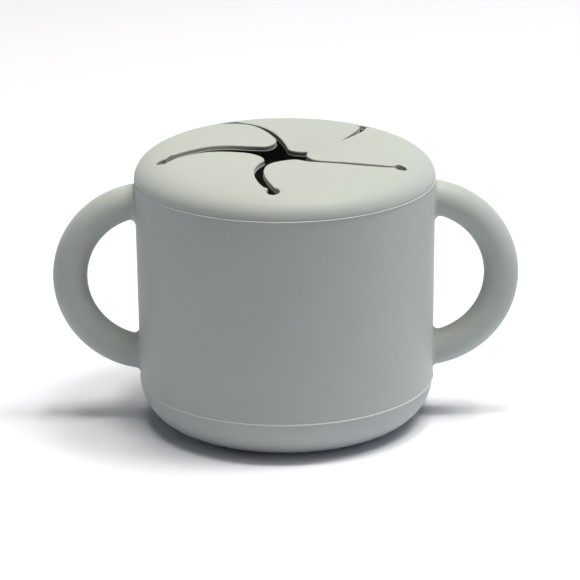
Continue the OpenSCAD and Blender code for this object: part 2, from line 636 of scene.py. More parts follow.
@dataclass
class Cup:
    """The cup's moulding: round wall, floor, rounded foot, rim and both loop handles.

    Attributes:
        finish: Its silicone.
        rim_radius: Outer radius at the rim.
        rim_height: Height of the rim.
        lean: Lean of the wall from upright, narrowing downwards.
        wall: Thickness of the wall.
        floor: Thickness of the floor.
        foot_arc: Radius of the rounded corner between wall and foot.
        parting_height: Height of the mould's lower parting line.
        bead: Radius of the half-round flash at that line.
        rim_flash: How far the thinner flash round the rim stands out.
        rim_flash_up: Half its height.
        rim_flash_at: Height of its middle above the rim.
        rim_round: Radius of the rim's inner edge.
        flash_left_share: How much of both flashes, their height and their painted highlight, is
            left at the cup's left, a painted shade where less light falls.
        flash_fade_span: How soon that fade begins past the left, in units of 1 + cos of the
            bearing.
        sides: Steps round the wall.
    """

    finish: Silicone
    rim_radius: float
    rim_height: float
    lean: float = math.radians(0.44)
    wall: float = 3.0
    floor: float = 3.0
    foot_arc: float = 12.4
    parting_height: float = 12.0
    bead: float = 0.2
    rim_flash: float = 0.21
    rim_flash_up: float = 0.12
    rim_flash_at: float = 0.04
    rim_round: float = 0.5
    flash_left_share: float = 0.5
    flash_fade_span: float = 0.35
    sides: int = 288

    @classmethod
    def from_frame(cls, finish: Silicone, lid_radius: float) -> "Cup":
        """The cup whose rim is as high as the frame's, just inside the lid's edge.

        Args:
            finish: Its silicone.
            lid_radius: Outer radius of the lid.

        Returns:
            The cup.
        """
        inside, high = 0.05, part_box("cup_body")[1]
        return cls(finish, rim_radius=lid_radius - inside, rim_height=high.z / MM)

    def wall_radius(self, height: Array | float) -> Array | float:
        """Outer radius of the leaning wall at a height."""
        return self.rim_radius - (self.rim_height - height) * math.tan(self.lean)

    def vessel(
        self, bottom: float, corner: float, top_radius: float, top: float, count: int
    ) -> Array:
        """Profile from the middle of a floor, round a corner and up a leaning wall.

        The corner's arc touches the floor and the wall, so its centre lies the arc's radius
        above the floor and the same distance, measured square to the wall, inside it.

        Args:
            bottom: Height of the floor.
            corner: Radius of the corner.
            top_radius: Radius of the wall at its top.
            top: Height of that top.
            count: Points on the corner.

        Returns:
            Profile points from the middle of the floor to the end of the corner.
        """
        height, across = bottom + corner, 24
        radius = top_radius - (top - height) * math.tan(self.lean) - corner / math.cos(self.lean)
        floor = np.stack([np.linspace(0, radius, across), np.full(across, bottom)], axis=1)[:-1]
        arc = profile_arc((radius, height), corner, -90, -math.degrees(self.lean), count)
        return np.concatenate([floor, arc])

    def profile(self) -> tuple[Array, Array]:
        """The cup's closed section, from under the foot up, over the rim and down inside.

        Returns:
            Profile points, and how much painted highlight each one gets.
        """
        thickness = self.wall / math.cos(self.lean)
        outer = self.vessel(0, self.foot_arc, self.rim_radius, self.rim_height, count=60)
        below = outer[outer[:, 1] < self.parting_height - self.bead]
        line_at = (self.wall_radius(self.parting_height), self.parting_height)
        half_round = (-90, 90, 9)
        line = profile_arc(line_at, self.bead, *half_round)
        over_line, under_lip = 0.6, 0.5
        heights = np.linspace(self.parting_height + over_line, self.rim_height - under_lip, 60)
        wall = np.stack([self.wall_radius(heights), heights], axis=1)
        lip = profile_arc((0.0, 0.0), 1.0, *half_round) * (self.rim_flash, self.rim_flash_up)
        lip = lip + (self.rim_radius, self.rim_height + self.rim_flash_at)
        bore, corner = self.rim_radius - thickness, self.foot_arc - self.wall
        round_at = (bore + self.rim_round, self.rim_height - self.rim_round)
        inner_round = profile_arc(round_at, self.rim_round, 90, 180, 7)
        inner = self.vessel(self.floor, corner, bore, self.rim_height, count=40)[::-1]
        under_rim, over_corner = 1.0, 0.5
        depths = np.linspace(self.rim_height - under_rim, self.floor + corner + over_corner, 50)
        bore_wall = np.stack([self.wall_radius(depths) - thickness, depths], axis=1)
        parts = [below, line, wall, lip, inner_round, bore_wall, inner]
        painted_light_and_shade = [np.zeros(len(part)) for part in parts]
        # Painted highlight on the parting line's bead and the rim's flash.
        painted_light_and_shade[1][1:-1] = 1.0
        painted_light_and_shade[3][1:] = 1.0
        return np.concatenate(parts), np.concatenate(painted_light_and_shade)

    def build(self) -> None:
        """Builds the wall, with its flashes and their painted highlight fading towards the left as
        painted shade, and both handles.
        """
        profile, painted_light_and_shade = self.profile()
        bearing = np.linspace(0, FULL_TURN, self.sides + 1)
        # Painted shade: towards the left, where less light falls, the flashes' painted highlight
        # fades, and their height with it.
        flash_share = self.flash_left_share + (1 - self.flash_left_share) * smooth_step((1 + np.cos(bearing)) / self.flash_fade_span)
        proud = np.where(painted_light_and_shade > 0, profile[:, 0] - self.wall_radius(profile[:, 1]), 0.0)
        points = revolved(profile, self.sides)
        points[..., :2] -= polar(proud[:, None] * (1 - flash_share), bearing[None, :])
        skin = Skin(points, np.zeros_like(points), painted_light_and_shade[:, None] * flash_share)
        skin.build("cup_wall", "cup", self.finish, "cup_body")
        for side in Side:
            Handle.from_frame(self, side).build()


@dataclass
class Handle:
    """One loop handle: half a ring of round section that flares into the wall at both ends.

    Attributes:
        cup: The cup that it grows out of.
        side: Which side it stands on.
        node: The CAD node that it stands for.
        centre_x: Distance of the loop's centre from the middle.
        centre_z: Height of the loop's centre.
        loop: Radius of the loop, to the middle of its section.
        grip: Radius of the section.
        upper_flare: Radii of the upper end's concave fillet, outside the loop and inside it.
        lower_flare: The same at the lower end.
        around: Steps round the section.
        along: Steps along the loop.
        fillet_steps: Steps across each fillet.
    """

    cup: Cup
    side: Side
    node: str
    centre_x: float
    centre_z: float
    loop: float
    grip: float
    upper_flare: tuple[float, float] = (0.7, 1.6)
    lower_flare: tuple[float, float] = (1.4, 1.5)
    around: int = 96
    along: int = 120
    fillet_steps: int = 12

    @classmethod
    def from_frame(cls, cup: Cup, side: Side) -> "Handle":
        """The handle whose loop and section fill the box of the frame's node on that side.

        The real loops came out of the mould a little taller, each by its own amount.

        Args:
            cup: The cup that it grows out of.
            side: Which side it stands on.

        Returns:
            The handle.
        """
        node = "handle_left" if side is Side.LEFT else "handle_right"
        low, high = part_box(node)
        top_up, foot_down = (0.2, 0.35) if side is Side.LEFT else (0.6, 0.0)
        top, foot = high.z / MM + top_up, low.z / MM - foot_down
        grip = (high.y - low.y) / 2 / MM
        loop = (top - foot) / 2 - grip
        reach = max(abs(low.x), abs(high.x)) / MM
        return cls(cup, side, node, reach - loop - grip, (top + foot) / 2, loop, grip)

    def on_tube(
        self, along: Array, around: Array, offset: Array | float = 0.0
    ) -> tuple[Array, Array]:
        """Points on the round section, or a distance outside it, and the normals there.

        The loop's middle line is centre + loop (sin t, 0, cos t), and the section turns round
        it in the plane of that direction and Y.

        Args:
            along: Angle t along the loop from its top, in radians.
            around: Angle round the section from the loop's outer side, in radians.
            offset: Distance outside the section.

        Returns:
            Points and unit normals.
        """
        out = np.stack([np.sin(along), np.zeros_like(along), np.cos(along)], axis=-1)
        sideways = np.array([0.0, 1.0, 0.0])
        normal = np.cos(around)[..., None] * out + np.sin(around)[..., None] * sideways
        middle = np.array([self.centre_x, 0.0, self.centre_z]) + self.loop * out
        reach = np.asarray(self.grip + offset)[..., None]
        return middle + reach * normal, normal

    def fillet(self, around: Array, upper: bool) -> tuple[Array, Array, Array]:
        """One end's flare: the arc of a ball that rolls in the corner of tube and wall.

        The ball's centre lies the ball's radius outside both, so its angle along the loop has
        loop centre + (loop + (grip + ball) cos a) sin t = the root of (wall + ball)^2 - y^2.
        The wall's radius there depends a little on that angle, so it is found in a few rounds.

        Args:
            around: Angles round the section.
            upper: True for the end at the top of the loop.

        Returns:
            The angle along the loop where each line of the tube ends, and the fillet's points
            and normals from the tube to the wall.
        """
        outside, inside = self.upper_flare if upper else self.lower_flare
        ball = (outside + inside) / 2 + (outside - inside) / 2 * np.cos(around)
        lean, rounds = self.cup.lean, 4
        arm = self.loop + (self.grip + ball) * np.cos(around)
        aside = (self.grip + ball) * np.sin(around)
        sign = 1.0 if upper else -1.0
        along = np.zeros_like(around)
        for _ in range(rounds):
            height = self.centre_z + sign * arm * np.cos(along)
            away = self.cup.wall_radius(height) + ball / math.cos(lean)
            along = np.arcsin((np.sqrt(away**2 - aside**2) - self.centre_x) / arm)
        along = along if upper else math.pi - along
        centre, to_tube = self.on_tube(along, around, ball)
        plan = centre[:, :2] / np.hypot(*centre[:, :2].T)[:, None]
        down = np.full((len(plan), 1), -math.sin(lean))
        to_wall = np.concatenate([plan * math.cos(lean), down], axis=1)
        share = np.linspace(0, 1, self.fillet_steps + 1)[:, None, None]
        between = np.arccos(np.clip(np.einsum("ij,ij->i", to_tube, to_wall), -1, 1))[None, :, None]
        normal = np.sin((1 - share) * between) * to_tube + np.sin(share * between) * to_wall
        normal = normal / np.sin(between)
        return along, centre - ball[:, None] * normal, normal

    def build(self) -> None:
        """Builds the handle: cap, fillet, tube, fillet, cap, from the top end to the bottom one.

        The fillets end in the wall's face, and the caps lie a little inside it.
        """
        sunk = 0.6
        around = np.linspace(0, FULL_TURN, self.around + 1)
        top_along, top, top_normal = self.fillet(around, upper=True)
        low_along, low, low_normal = self.fillet(around, upper=False)
        share = np.linspace(0, 1, self.along + 1)[1:-1, None]
        along, across = np.broadcast_arrays(top_along + share * (low_along - top_along), around)
        tube, tube_normal = self.on_tube(along, across)
        rows = [top[::-1], tube, low]
        normals = [top_normal[::-1], tube_normal, low_normal]
        for end, normal, at in ((top, top_normal, 0), (low, low_normal, len(rows) + 2)):
            inside = end[-1] - sunk * normal[-1]
            cap = np.stack([np.broadcast_to(inside.mean(axis=0), inside.shape), inside])
            rows.insert(at, cap if at == 0 else cap[::-1])
            normals.insert(at, np.zeros_like(cap))
        mirror = np.array([self.side.value, 1.0, 1.0])
        points = np.concatenate(rows) * mirror
        skin = Skin(points, np.concatenate(normals) * mirror, np.zeros(points.shape[:2]))
        skin.build(f"{self.node}_loop", "cup", self.cup.finish, self.node)


@dataclass(frozen=True)
class Petal:
    """How one petal and the slit on its right-hand side have settled.

    Attributes:
        level: How far its tip rests above the crown, or below it if negative.
        gap: Half the width of the slit that it shares with the petal before it.
        reach: Distance of its nose from the middle.
        brow: Radius of the broad curve that runs from its nose to that slit.
        belly: How far the petal arches up between its root and its tip.
        crest: Where that arch is highest, from 0 at the root to 1 where it has settled.
        painted_shade_reach: Distances from the middle where the painted shade on its cut
        sides is strongest, and where it ends.
    """

    level: float
    gap: float
    reach: float
    brow: float
    belly: float = 0.0
    crest: float = 0.5
    painted_shade_reach: tuple[float, float] = (6.0, 20.0)


@dataclass
class Lid:
    """The lid's moulding: crown, shoulder, seam edge, plug ring and five petals.

    Attributes:
        finish: Its silicone.
        radius: Outer radius at the seam.
        seam: Height of the cup's rim, where the lid rests.
        plug_bottom: Height of the plug ring's lower edge.
        rise: Height of the shoulder's crest above the seam.
        squareness: Power that sets how square the shoulder is.
        dish_depth: How far the middle of the crown has sunk.
        dish_radius: Radius of that sunk part.
        back_lift: How far the crown sits high at the back and low at the front.
        left_lift: How far it sits high on the left and low on the right.
        skirt: Height of the lid's lowest point at the seam above the rim.
        thick: Thickness of the crown and the petals.
        plug_radius: Outer radius of the plug ring.
        plug_wall: Its thickness.
        lead: Chamfer on its lower outer edge.
        under_arc: Radius of the corner under the crown.
        hole_reach: Distance of the slits' end holes from the middle.
        hole: Radius of those holes.
        slit_arc: Radius of the arc that each slit follows.
        first_slit: Angle of the first end hole.
        nose: Radius of a petal's nose, beside the slit on its left.
        heel: Radius of the corner between a slit and its end hole.
        edge: Radius of the softened upper edge of a cut.
        flash: How far the thin flash at a cut's lower edge stands out.
        settle: Distance from a petal's root over which it reaches its own level.
        petals: The petals, from the one at the back, to the left.
        root_points: Points on a petal's root line, which it shares with the ring.
        spacing: Greatest distance between points on a petal's outline.
        bend_length: Distance from a petal's root over which it starts to move, which is not used.
    """

    finish: Silicone
    radius: float
    seam: float
    plug_bottom: float
    rise: float = 7.95
    squareness: float = 7.0
    dish_depth: float = 1.2
    dish_radius: float = 23.0
    back_lift: float = 0.6
    left_lift: float = 0.23
    skirt: float = 0.42
    thick: float = 1.5
    plug_radius: float = 38.9
    plug_wall: float = 1.9
    lead: float = 0.6
    under_arc: float = 2.5
    hole_reach: float = 34.5
    hole: float = 1.8
    slit_arc: float = 30.3
    first_slit: float = math.radians(48.7)
    nose: float = 2.5
    heel: float = 0.6
    edge: float = 0.35
    flash: float = 0.1
    settle: float = 19.0
    petals: tuple[Petal, ...] = field(
        default=(
            # The back petal's cut sides get painted shade further out.
            Petal(level=-1.25, gap=0.98, reach=7.2, brow=9.5, painted_shade_reach=(21.0, 32.0)),
            Petal(level=0.80, gap=1.40, reach=5.9, brow=5.9, belly=0.35),
            Petal(level=-0.20, gap=1.64, reach=8.0, brow=5.9),
            Petal(level=-0.02, gap=1.30, reach=6.0, brow=10.0, belly=0.18),
            Petal(level=0.03, gap=0.70, reach=6.2, brow=8.9, belly=0.28, crest=0.7),
        )
    )
    root_points: int = 72
    spacing: float = 0.5
    bend_length: float = 7.0

    @classmethod
    def from_frame(cls, finish: Silicone) -> "Lid":
        """The lid as wide as the frame's, resting on its cup's rim.

        Args:
            finish: Its silicone.

        Returns:
            The lid.
        """
        low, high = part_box("lid_ring")
        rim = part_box("cup_body")[1].z
        return cls(finish, radius=high.x / MM, seam=rim / MM, plug_bottom=low.z / MM)

    @property
    def step(self) -> float:
        """Angle from one slit to the next."""
        return FULL_TURN / len(self.petals)

    @property
    def root_reach(self) -> float:
        """Distance of a petal's root line from the middle."""
        return self.hole_reach * math.cos(self.step / 2)

    @property
    def bore(self) -> float:
        """Inner radius of the plug ring."""
        return self.plug_radius - self.plug_wall

    def crown(self, plan: Array) -> Array:
        """Height of the crown's upper face at plan points.

        The shoulder is rise times the root of 1 - (r / radius)^squareness. From it comes a
        round dish, depth (1 - (r / dish radius)^2)^2, and to it a slight tilt, both gone at
        the seam.

        Args:
            plan: Plan points.

        Returns:
            Heights.
        """
        r = np.hypot(plan[..., 0], plan[..., 1])
        share = np.sqrt(np.clip(1 - (r / self.radius) ** self.squareness, 0, 1))
        dish = self.dish_depth * np.clip(1 - (r / self.dish_radius) ** 2, 0, 1) ** 2
        tilt = (self.back_lift * plan[..., 1] - self.left_lift * plan[..., 0]) / self.radius
        return self.seam + self.skirt + (self.rise - self.skirt) * share - dish + tilt * share

    def petal_top(self, number: int) -> Callable[[Array], Array]:
        """Height of one petal's upper face: the crown, and its own level away from its root.

        Args:
            number: Which petal, from 0.

        Returns:
            A function from plan points to heights.
        """
        facing = polar(1.0, self.first_slit + self.step * (number + 0.5))
        petal = self.petals[number]
        peak = petal.crest**2

        def top(plan: Array) -> Array:
            """The crown's height, with the petal's level and belly added.

            The level comes in as 1.5 s^2 - 0.5 s^3, as a strip bends under a load at its tip,
            and the belly as (s (2 c - s) / c^2)^2. Here s is the distance from the root over
            the settling length, and c is the crest.

            Args:
                plan: Plan points.

            Returns:
                Heights.
            """
            away = np.clip((self.root_reach - plan @ facing) / self.settle, 0, None)
            arch = petal.belly * (away * np.clip(2 * petal.crest - away, 0, None) / peak) ** 2
            return self.crown(plan) + petal.level * away**2 * (1.5 - 0.5 * away) + arch

        return top

    def build(self) -> None:
        """Builds the ring and the petals."""
        following = self.petals[1:] + self.petals[:1]
        plans = [PetalPlan(self, petal, later.gap) for petal, later in zip(self.petals, following)]
        LidRing(self, plans).build()
        for number, plan in enumerate(plans):
            self.build_petal(number, plan)

    def build_petal(self, number: int, plan: "PetalPlan") -> None:
        """Builds one petal: a plate with softened edges, curved from its root to its own level.

        The plate's section runs from a middle point over the top, round the cut and back
        below. The outline carries it round the petal.

        Args:
            number: Which petal, from 0.
            plan: Its plan, with its first hole on +X.
        """
        angle = self.first_slit + self.step * number
        outline, fade = plan.outline()
        outline = outline.turned(angle)
        top = self.petal_top(number)
        heart = turned(plan.heart, angle)
        # Each petal's cut sides get painted shade near the tip, as far out as its own reach says.
        painted_shade_reach, rings = self.petals[number].painted_shade_reach, 18
        rows = CutEdge(self, outline, fade, top, lambda at: top(at) - self.thick, painted_shade_reach)
        share = np.linspace(0, 1, rings)[:, None, None]
        upper = heart + share[:-1] * (rows.plan[0] - heart)
        lower = heart + share[::-1][1:] * (rows.plan[-1] - heart)
        above, below = lift(upper, top(upper)), lift(lower, top(lower) - self.thick)
        points = np.concatenate([above, rows.points, below])
        normals = np.concatenate([facing_up(upper, top), rows.normals, -facing_up(lower, top)])
        # Only the cut's side carries painted highlight and painted shade.
        painted_light_and_shade = np.concatenate([np.zeros(upper.shape[:2]), rows.painted_light_and_shade, np.zeros(lower.shape[:2])])
        body = f"petal_{number + 1}"
        piece = Skin(points, normals, painted_light_and_shade).build(f"{body}_leaf", "", self.finish, body)
        facing = polar(1.0, angle + self.step / 2)
        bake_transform(piece)


def lift(plan: Array, height: Array) -> Array:
    """Plan points with their heights as the third number."""
    return np.concatenate([plan, height[..., None]], axis=-1)


def facing_up(plan: Array, top: Callable[[Array], Array]) -> Array:
    """Upward unit normals of a height field, from its slope across a small step.

    Args:
        plan: Plan points.
        top: The height field.

    Returns:
        Unit normals: (-dz/dx, -dz/dy, 1), scaled.
    """
    small = 0.01
    across, ahead = np.array([small, 0.0]), np.array([0.0, small])
    slope_x = (top(plan + across) - top(plan - across)) / (2 * small)
    slope_y = (top(plan + ahead) - top(plan - ahead)) / (2 * small)
    normal = np.stack([-slope_x, -slope_y, np.ones_like(slope_x)], axis=-1)
    return normal / np.linalg.norm(normal, axis=-1, keepdims=True)


@dataclass
class PetalPlan:
    """Plan of one petal, with its first end hole on +X and the next a step to the left.

    Attributes:
        lid: The lid.
        petal: How the petal has settled.
        next_gap: Half width of the slit that runs into the next hole.
    """

    lid: Lid
    petal: Petal
    next_gap: float

    @property
    def heart(self) -> Array:
        """A point that sees the whole outline, where the plate's rows meet."""
        reach, angle = 22.0, math.radians(32.5)
        return polar(reach, angle)

    def slit_centre(self, ahead: int) -> Array:
        """Centre of the arc that the first slit follows, or the next one's.

        The arc passes through the hole and the lid's middle, so its centre lies as far from
        both as its own radius.

        Args:
            ahead: 0 for the first slit, 1 for the next.

        Returns:
            The centre.
        """
        half = self.lid.hole_reach / 2
        centre = np.array([half, math.sqrt(self.lid.slit_arc**2 - half**2)])
        return turned(centre, self.lid.step * ahead)

    def root(self) -> tuple[Path, Array]:
        """The root line that petal and ring share, and the far hole's centre.

        It leaves the first hole square and ends where it meets the next slit's edge: the
        nearer root of |start + d ahead - slit centre| = slit arc + gap.

        Returns:
            The shared root line, and the next hole's centre.
        """
        lid = self.lid
        first, following = polar(lid.hole_reach, 0.0), polar(lid.hole_reach, lid.step)
        ahead = unit(following - first)
        offset = first - self.slit_centre(1)
        along, reach = float(offset @ ahead), lid.slit_arc + self.next_gap
        met = -along - math.sqrt(along**2 - float(offset @ offset) + reach**2)
        return Path.line(first + lid.hole * ahead, first + met * ahead, lid.root_points), following

    def outline(self) -> tuple[Path, Array]:
        """The whole outline to the left, and how fully each point's edge is softened.

        It runs along the root, in along the next slit, round the nose, along the brow, out
        along the first slit and round the first hole. A rounded corner's centre lies its
        radius inside both lines that it joins, so the nose's lies that far beyond the circle
        of the petal's reach, and the brow's lies the difference of radii from the nose's. The
        softening fades to nothing where the root begins and ends.

        Returns:
            The closed outline, its first point not repeated, and the softening from 0 to 1.
        """
        lid, reach, brow = self.lid, self.petal.reach, self.petal.brow
        middle, hole = np.zeros(2), polar(lid.hole_reach, 0.0)
        own, following = self.slit_centre(0), self.slit_centre(1)
        own_reach, next_reach = lid.slit_arc - self.petal.gap, lid.slit_arc + self.next_gap
        root = self.root()[0]
        nose_at = crossing(following, next_reach + lid.nose, middle, reach + lid.nose)
        brow_at = crossing(own, own_reach - brow, nose_at, brow - lid.nose)
        heel_at = crossing(hole, lid.hole + lid.heel, own, own_reach - lid.heel)
        nose_side = following + next_reach * unit(nose_at - following)
        nose_brow = brow_at + brow * unit(nose_at - brow_at)
        brow_side = own + own_reach * unit(brow_at - own)
        heel_side = own + own_reach * unit(heel_at - own)
        heel_hole = hole + lid.hole * unit(heel_at - hole)
        fine = lid.spacing / 2
        stretches = [
            root,
            Path.arc(following, root.points[-1], nose_side, Turn.RIGHT, lid.spacing),
            Path.arc(nose_at, nose_side, nose_brow, Turn.LEFT, fine),
            Path.arc(brow_at, nose_brow, brow_side, Turn.LEFT, lid.spacing),
            Path.arc(own, brow_side, heel_side, Turn.LEFT, lid.spacing),
            Path.arc(heel_at, heel_side, heel_hole, Turn.LEFT, fine / 2),
            Path.arc(hole, heel_hole, root.points[0], Turn.RIGHT, fine),
        ]
        points = np.concatenate([stretch.points[:-1] for stretch in stretches])
        inward = np.concatenate([stretch.inward[:-1] for stretch in stretches])
        steps = np.hypot(*(np.roll(points, -1, axis=0) - points).T)
        after_root = np.cumsum(steps) - steps - steps[: lid.root_points - 1].sum()
        before_root = steps.sum() - (np.cumsum(steps) - steps)
        sliver, corner = 3.0, 0.8
        fade = smooth_step(np.minimum(after_root / sliver, before_root / corner))
        return Path(points, inward), fade


class CutEdge:
    """The side of a cut, carried round an outline: softened top, wall and flash below."""

    def __init__(
        self,
        lid: Lid,
        outline: Path,
        fade: Array,
        top: Callable[[Array], Array],
        bottom: Callable[[Array], Array],
        painted_shade_reach: tuple[float, float] = (6.0, 20.0),
    ) -> None:
        """Works out the rows from the upper face, down the wall, to the lower face.

        The section is a quarter round of the edge's radius, a plain wall, and a thin lip
        that stands out by the flash. Each measure is scaled by the fade, so that the wall
        is plain where a petal's root meets the ring, and shades as its upper face there. Row
        by row, the side gets painted highlight, most on the flash lip, and near the tip
        painted shade, which also dims that highlight.

        Args:
            lid: The lid, which holds the edge's sizes.
            outline: The cut's outline, with the material on the left.
            fade: How fully each point's edge is shaped, from 0 to 1.
            top: Height of the upper face at plan points.
            bottom: Height of the lower face.
            painted_shade_reach: Distances from the middle where the side's painted shade is
            strongest, and where it ends.
        """
        quarter, faded = np.linspace(0, math.pi / 2, 6), 1e-6
        inset = lid.edge * np.append(1 - np.sin(quarter), 0.0)
        drop = lid.edge * np.append(1 - np.cos(quarter), 1.0)
        lip_out = lid.flash * np.array([0.0, -0.7, -1.0, -1.0, -0.6, 0.0])
        lip_up = lid.flash * np.array([3.0, 2.4, 1.8, 0.9, 0.2, 0.0])
        points, inward = outline.points[None], outline.inward[None]
        scale = fade[None, :, None]
        upper = points + scale * inset[:, None, None] * inward
        lower = points + scale * lip_out[:, None, None] * inward
        upper_height = top(upper) - drop[:, None] * fade
        lower_height = bottom(lower) + lip_up[:, None] * fade
        self.plan = close(np.concatenate([upper, lower]))
        self.points = close(np.concatenate([lift(upper, upper_height), lift(lower, lower_height)]))
        facing = facing_up(self.plan[: len(upper)], top)
        plain = close(np.broadcast_to(fade, upper.shape[:2])) < faded
        plain[0] = True
        self.normals = np.zeros_like(self.points)
        self.normals[: len(upper)] = np.where(plain[..., None], facing, 0.0)
        # Painted highlight on the cut's side, row by row: a little on the rounded top and the wall,
        # most on the flash lip.
        painted_highlight_rows = np.array([0, 0.15, 0.25, 0.35, 0.4, 0.4, 0.4, 0.4, 0.7, 1, 1, 0.6, 0])
        painted_shade_rows = np.array([0, 0.15, 0.35, 0.7, 1, 1.2, 1.2, 1.2, 0.8, 0.4, 0.2, 0, 0])
        # Painted shade on the side near the tip, where little light gets into the cut; it also dims
        # the painted highlight there.
        (near, far), painted_tip_dimming = painted_shade_reach, 0.4
        tip_shade_share = 1 - smooth_step((np.hypot(*outline.points.T) - near) / (far - near))
        light = painted_highlight_rows[:, None] * (1 - painted_tip_dimming * tip_shade_share) - painted_shade_rows[:, None] * tip_shade_share
        self.painted_light_and_shade = close(light * fade[None, :])


def close(rows: Array) -> Array:
    """Rows with their first column repeated at the end."""
    return np.concatenate([rows, rows[:, :1]], axis=1)


@dataclass
class LidRing:
    """The lid but for its petals: one closed skin from the cuts out to the seam and back.

    Attributes:
        lid: The lid.
        plans: The petals' plans, whose roots it meets.
        crown_rows: Rows from the cuts out to the seam.
        gentle_rows: How many of them take the crown's exact normals, short of the shoulder.
        bore_rows: Rows up the inside of the plug ring.
        corner_rows: Rows round the corner under the crown.
        flat_rows: Rows from there in to the cuts.
        hole_points: Points on half of an end hole's outline.
        fan: How far round the seam an end hole's half outline is spread.
    """

    lid: Lid
    plans: list[PetalPlan]
    crown_rows: int = 44
    gentle_rows: int = 36
    bore_rows: int = 8
    corner_rows: int = 8
    flat_rows: int = 9
    hole_points: int = 16
    fan: float = math.radians(12)

    def stations(self) -> tuple[Path, Array, Array]:
        """The cuts' inner outline all round, its softening, and where each point meets the seam.

        Each step runs from the outer side of an end hole to its crossing with the root line,
        along the root to the next hole, and back to that hole's outer side. The crossing is
        a right angle plus half a step round the hole.

        Returns:
            The outline with the ring on its right, the softening, and seam angles.
        """
        lid, corner, rest_points = self.lid, 0.8, 5
        half_hole = math.pi / 2 + lid.step / 2
        bearing = np.linspace(0, half_hole, self.hole_points)
        hole_at = polar(lid.hole_reach, 0.0)
        first_hole = hole_at + polar(lid.hole, bearing)
        far_hole = turned(hole_at + polar(lid.hole, -bearing[::-1]), lid.step)
        fade = smooth_step((half_hole - bearing) * lid.hole / corner)
        spread = self.fan * bearing / half_hole
        points, away, soft, seam = [], [], [], []
        for number, plan in enumerate(self.plans):
            root, following = plan.root()
            end = following - lid.hole * unit(following - root.points[0])
            rest = Path.line(root.points[-1], end, rest_points)
            line = np.concatenate([root.points[1:], rest.points[1:-1]])
            share = np.hypot(*(line - root.points[0]).T) / np.hypot(*(end - root.points[0]))
            turn = lid.first_slit + lid.step * number
            sector = np.concatenate([first_hole, line, far_hole[:-1]])
            outward = np.concatenate(
                [
                    polar(1.0, bearing),
                    np.broadcast_to(-root.inward[0], line.shape),
                    turned(polar(1.0, -bearing[::-1]), lid.step)[:-1],
                ]
            )
            points.append(turned(sector, turn))
            away.append(turned(outward, turn))
            soft.append(np.concatenate([fade, np.zeros(len(line)), fade[::-1][:-1]]))
            angle = np.concatenate(
                [spread, self.fan + share * (lid.step - 2 * self.fan), lid.step - spread[::-1][:-1]]
            )
            seam.append(turn + angle)
        outline = Path(np.concatenate(points), np.concatenate(away))
        return outline, np.concatenate(soft), np.concatenate(seam)

    def under(self, plan: Array) -> Array:
        """Height of the lid's underside inside the plug ring.

        It lies one thickness under the crown, and a quarter round leads it into the ring.

        Args:
            plan: Plan points.

        Returns:
            Heights.
        """
        lid = self.lid
        bend, least = lid.bore - lid.under_arc, 1e-9
        r = np.hypot(plan[..., 0], plan[..., 1])
        past = np.clip(r - bend, 0, lid.under_arc)
        held = plan * np.minimum(1, bend / np.maximum(r, least))[..., None]
        return lid.crown(held) - lid.thick - lid.under_arc + np.sqrt(lid.under_arc**2 - past**2)

    def outward_rows(self, start: Array, seam: Array) -> Array:
        """Plan rows from the cuts out to the seam.

        The radius is the lid's times sin(t)^(2 / squareness), with t in even steps up to a
        right angle, which spaces the rows evenly over the shoulder. The bearing goes from
        the cut's to the seam's in step with the radius.

        Args:
            start: Plan points of the first row.
            seam: Angles of the last row.

        Returns:
            Plan points, rows by stations.
        """
        lid = self.lid
        inner, bearing = np.hypot(*start.T), np.arctan2(start[:, 1], start[:, 0])
        first = np.arcsin((inner / lid.radius) ** (lid.squareness / 2))
        share = np.linspace(0, 1, self.crown_rows)[:, None]
        radius = lid.radius * np.sin(first + share * (math.pi / 2 - first)) ** (2 / lid.squareness)
        return polar(radius, self.bearings(bearing, seam, (radius - inner) / (lid.radius - inner)))

    @staticmethod
    def bearings(start: Array, end: Array, share: Array) -> Array:
        """Angles from start to end, the short way round, in those shares."""
        swing = (end - start + math.pi) % FULL_TURN - math.pi
        return start + share * swing

    def ring_profile(self) -> Array:
        """Profile from the seam's lower edge, under the flange and round the plug ring.

        The neck is where the flange turns down into the ring, and the toe is the ring's
        rounded lower edge.

        Returns:
            Profile points, one a line.
        """
        lid, bottom, bore = self.lid, self.lid.plug_bottom, self.lid.bore
        lip, clear, lean = lid.skirt, 0.02, 0.12
        neck_out, neck_down = 0.5, 0.3
        toe, toe_in, toe_round = 0.6, 0.7, 0.4
        start, end = bottom + 1.0, lid.seam + 2.5
        face = [
            [lid.plug_radius + neck_out, lid.seam + clear],
            [lid.plug_radius, lid.seam - neck_down],
            [lid.plug_radius - lean, bottom + lid.lead],
        ]
        inside = np.linspace(start, end, self.bore_rows)
        return np.concatenate(
            [
                profile_arc((lid.radius - lip, lid.seam + lip), lip - clear, 0, -90, 5),
                np.array(face),
                profile_arc((bore + toe_in, bottom + toe), toe, -60, -90, 3),
                profile_arc((bore + toe_round, bottom + toe_round), toe_round, -90, -180, 5),
                np.stack([np.full_like(inside, bore), inside], axis=1),
            ]
        )

    def inward_rows(self, seam: Array, end: Array) -> Array:
        """Plan rows under the crown, from the plug ring in to the cuts.

        Args:
            seam: Angles at the plug ring.
            end: Plan points of the last row.

        Returns:
            Plan points, rows by stations.
        """
        lid = self.lid
        inner, bearing = np.hypot(*end.T), np.arctan2(end[:, 1], end[:, 0])
        bend = lid.bore - lid.under_arc
        reach = np.clip((np.maximum(inner, bend) - bend) / lid.under_arc, 0, 1)
        angle = np.linspace(0, 1, self.corner_rows)[:, None] * np.arccos(reach)
        corner = bend + lid.under_arc * np.cos(angle)
        share = np.linspace(0, 1, self.flat_rows + 1)[1:, None]
        radius = np.concatenate([corner, corner[-1] + share * (inner - corner[-1])])
        return polar(radius, self.bearings(bearing, seam, (radius - inner) / (lid.bore - inner)))

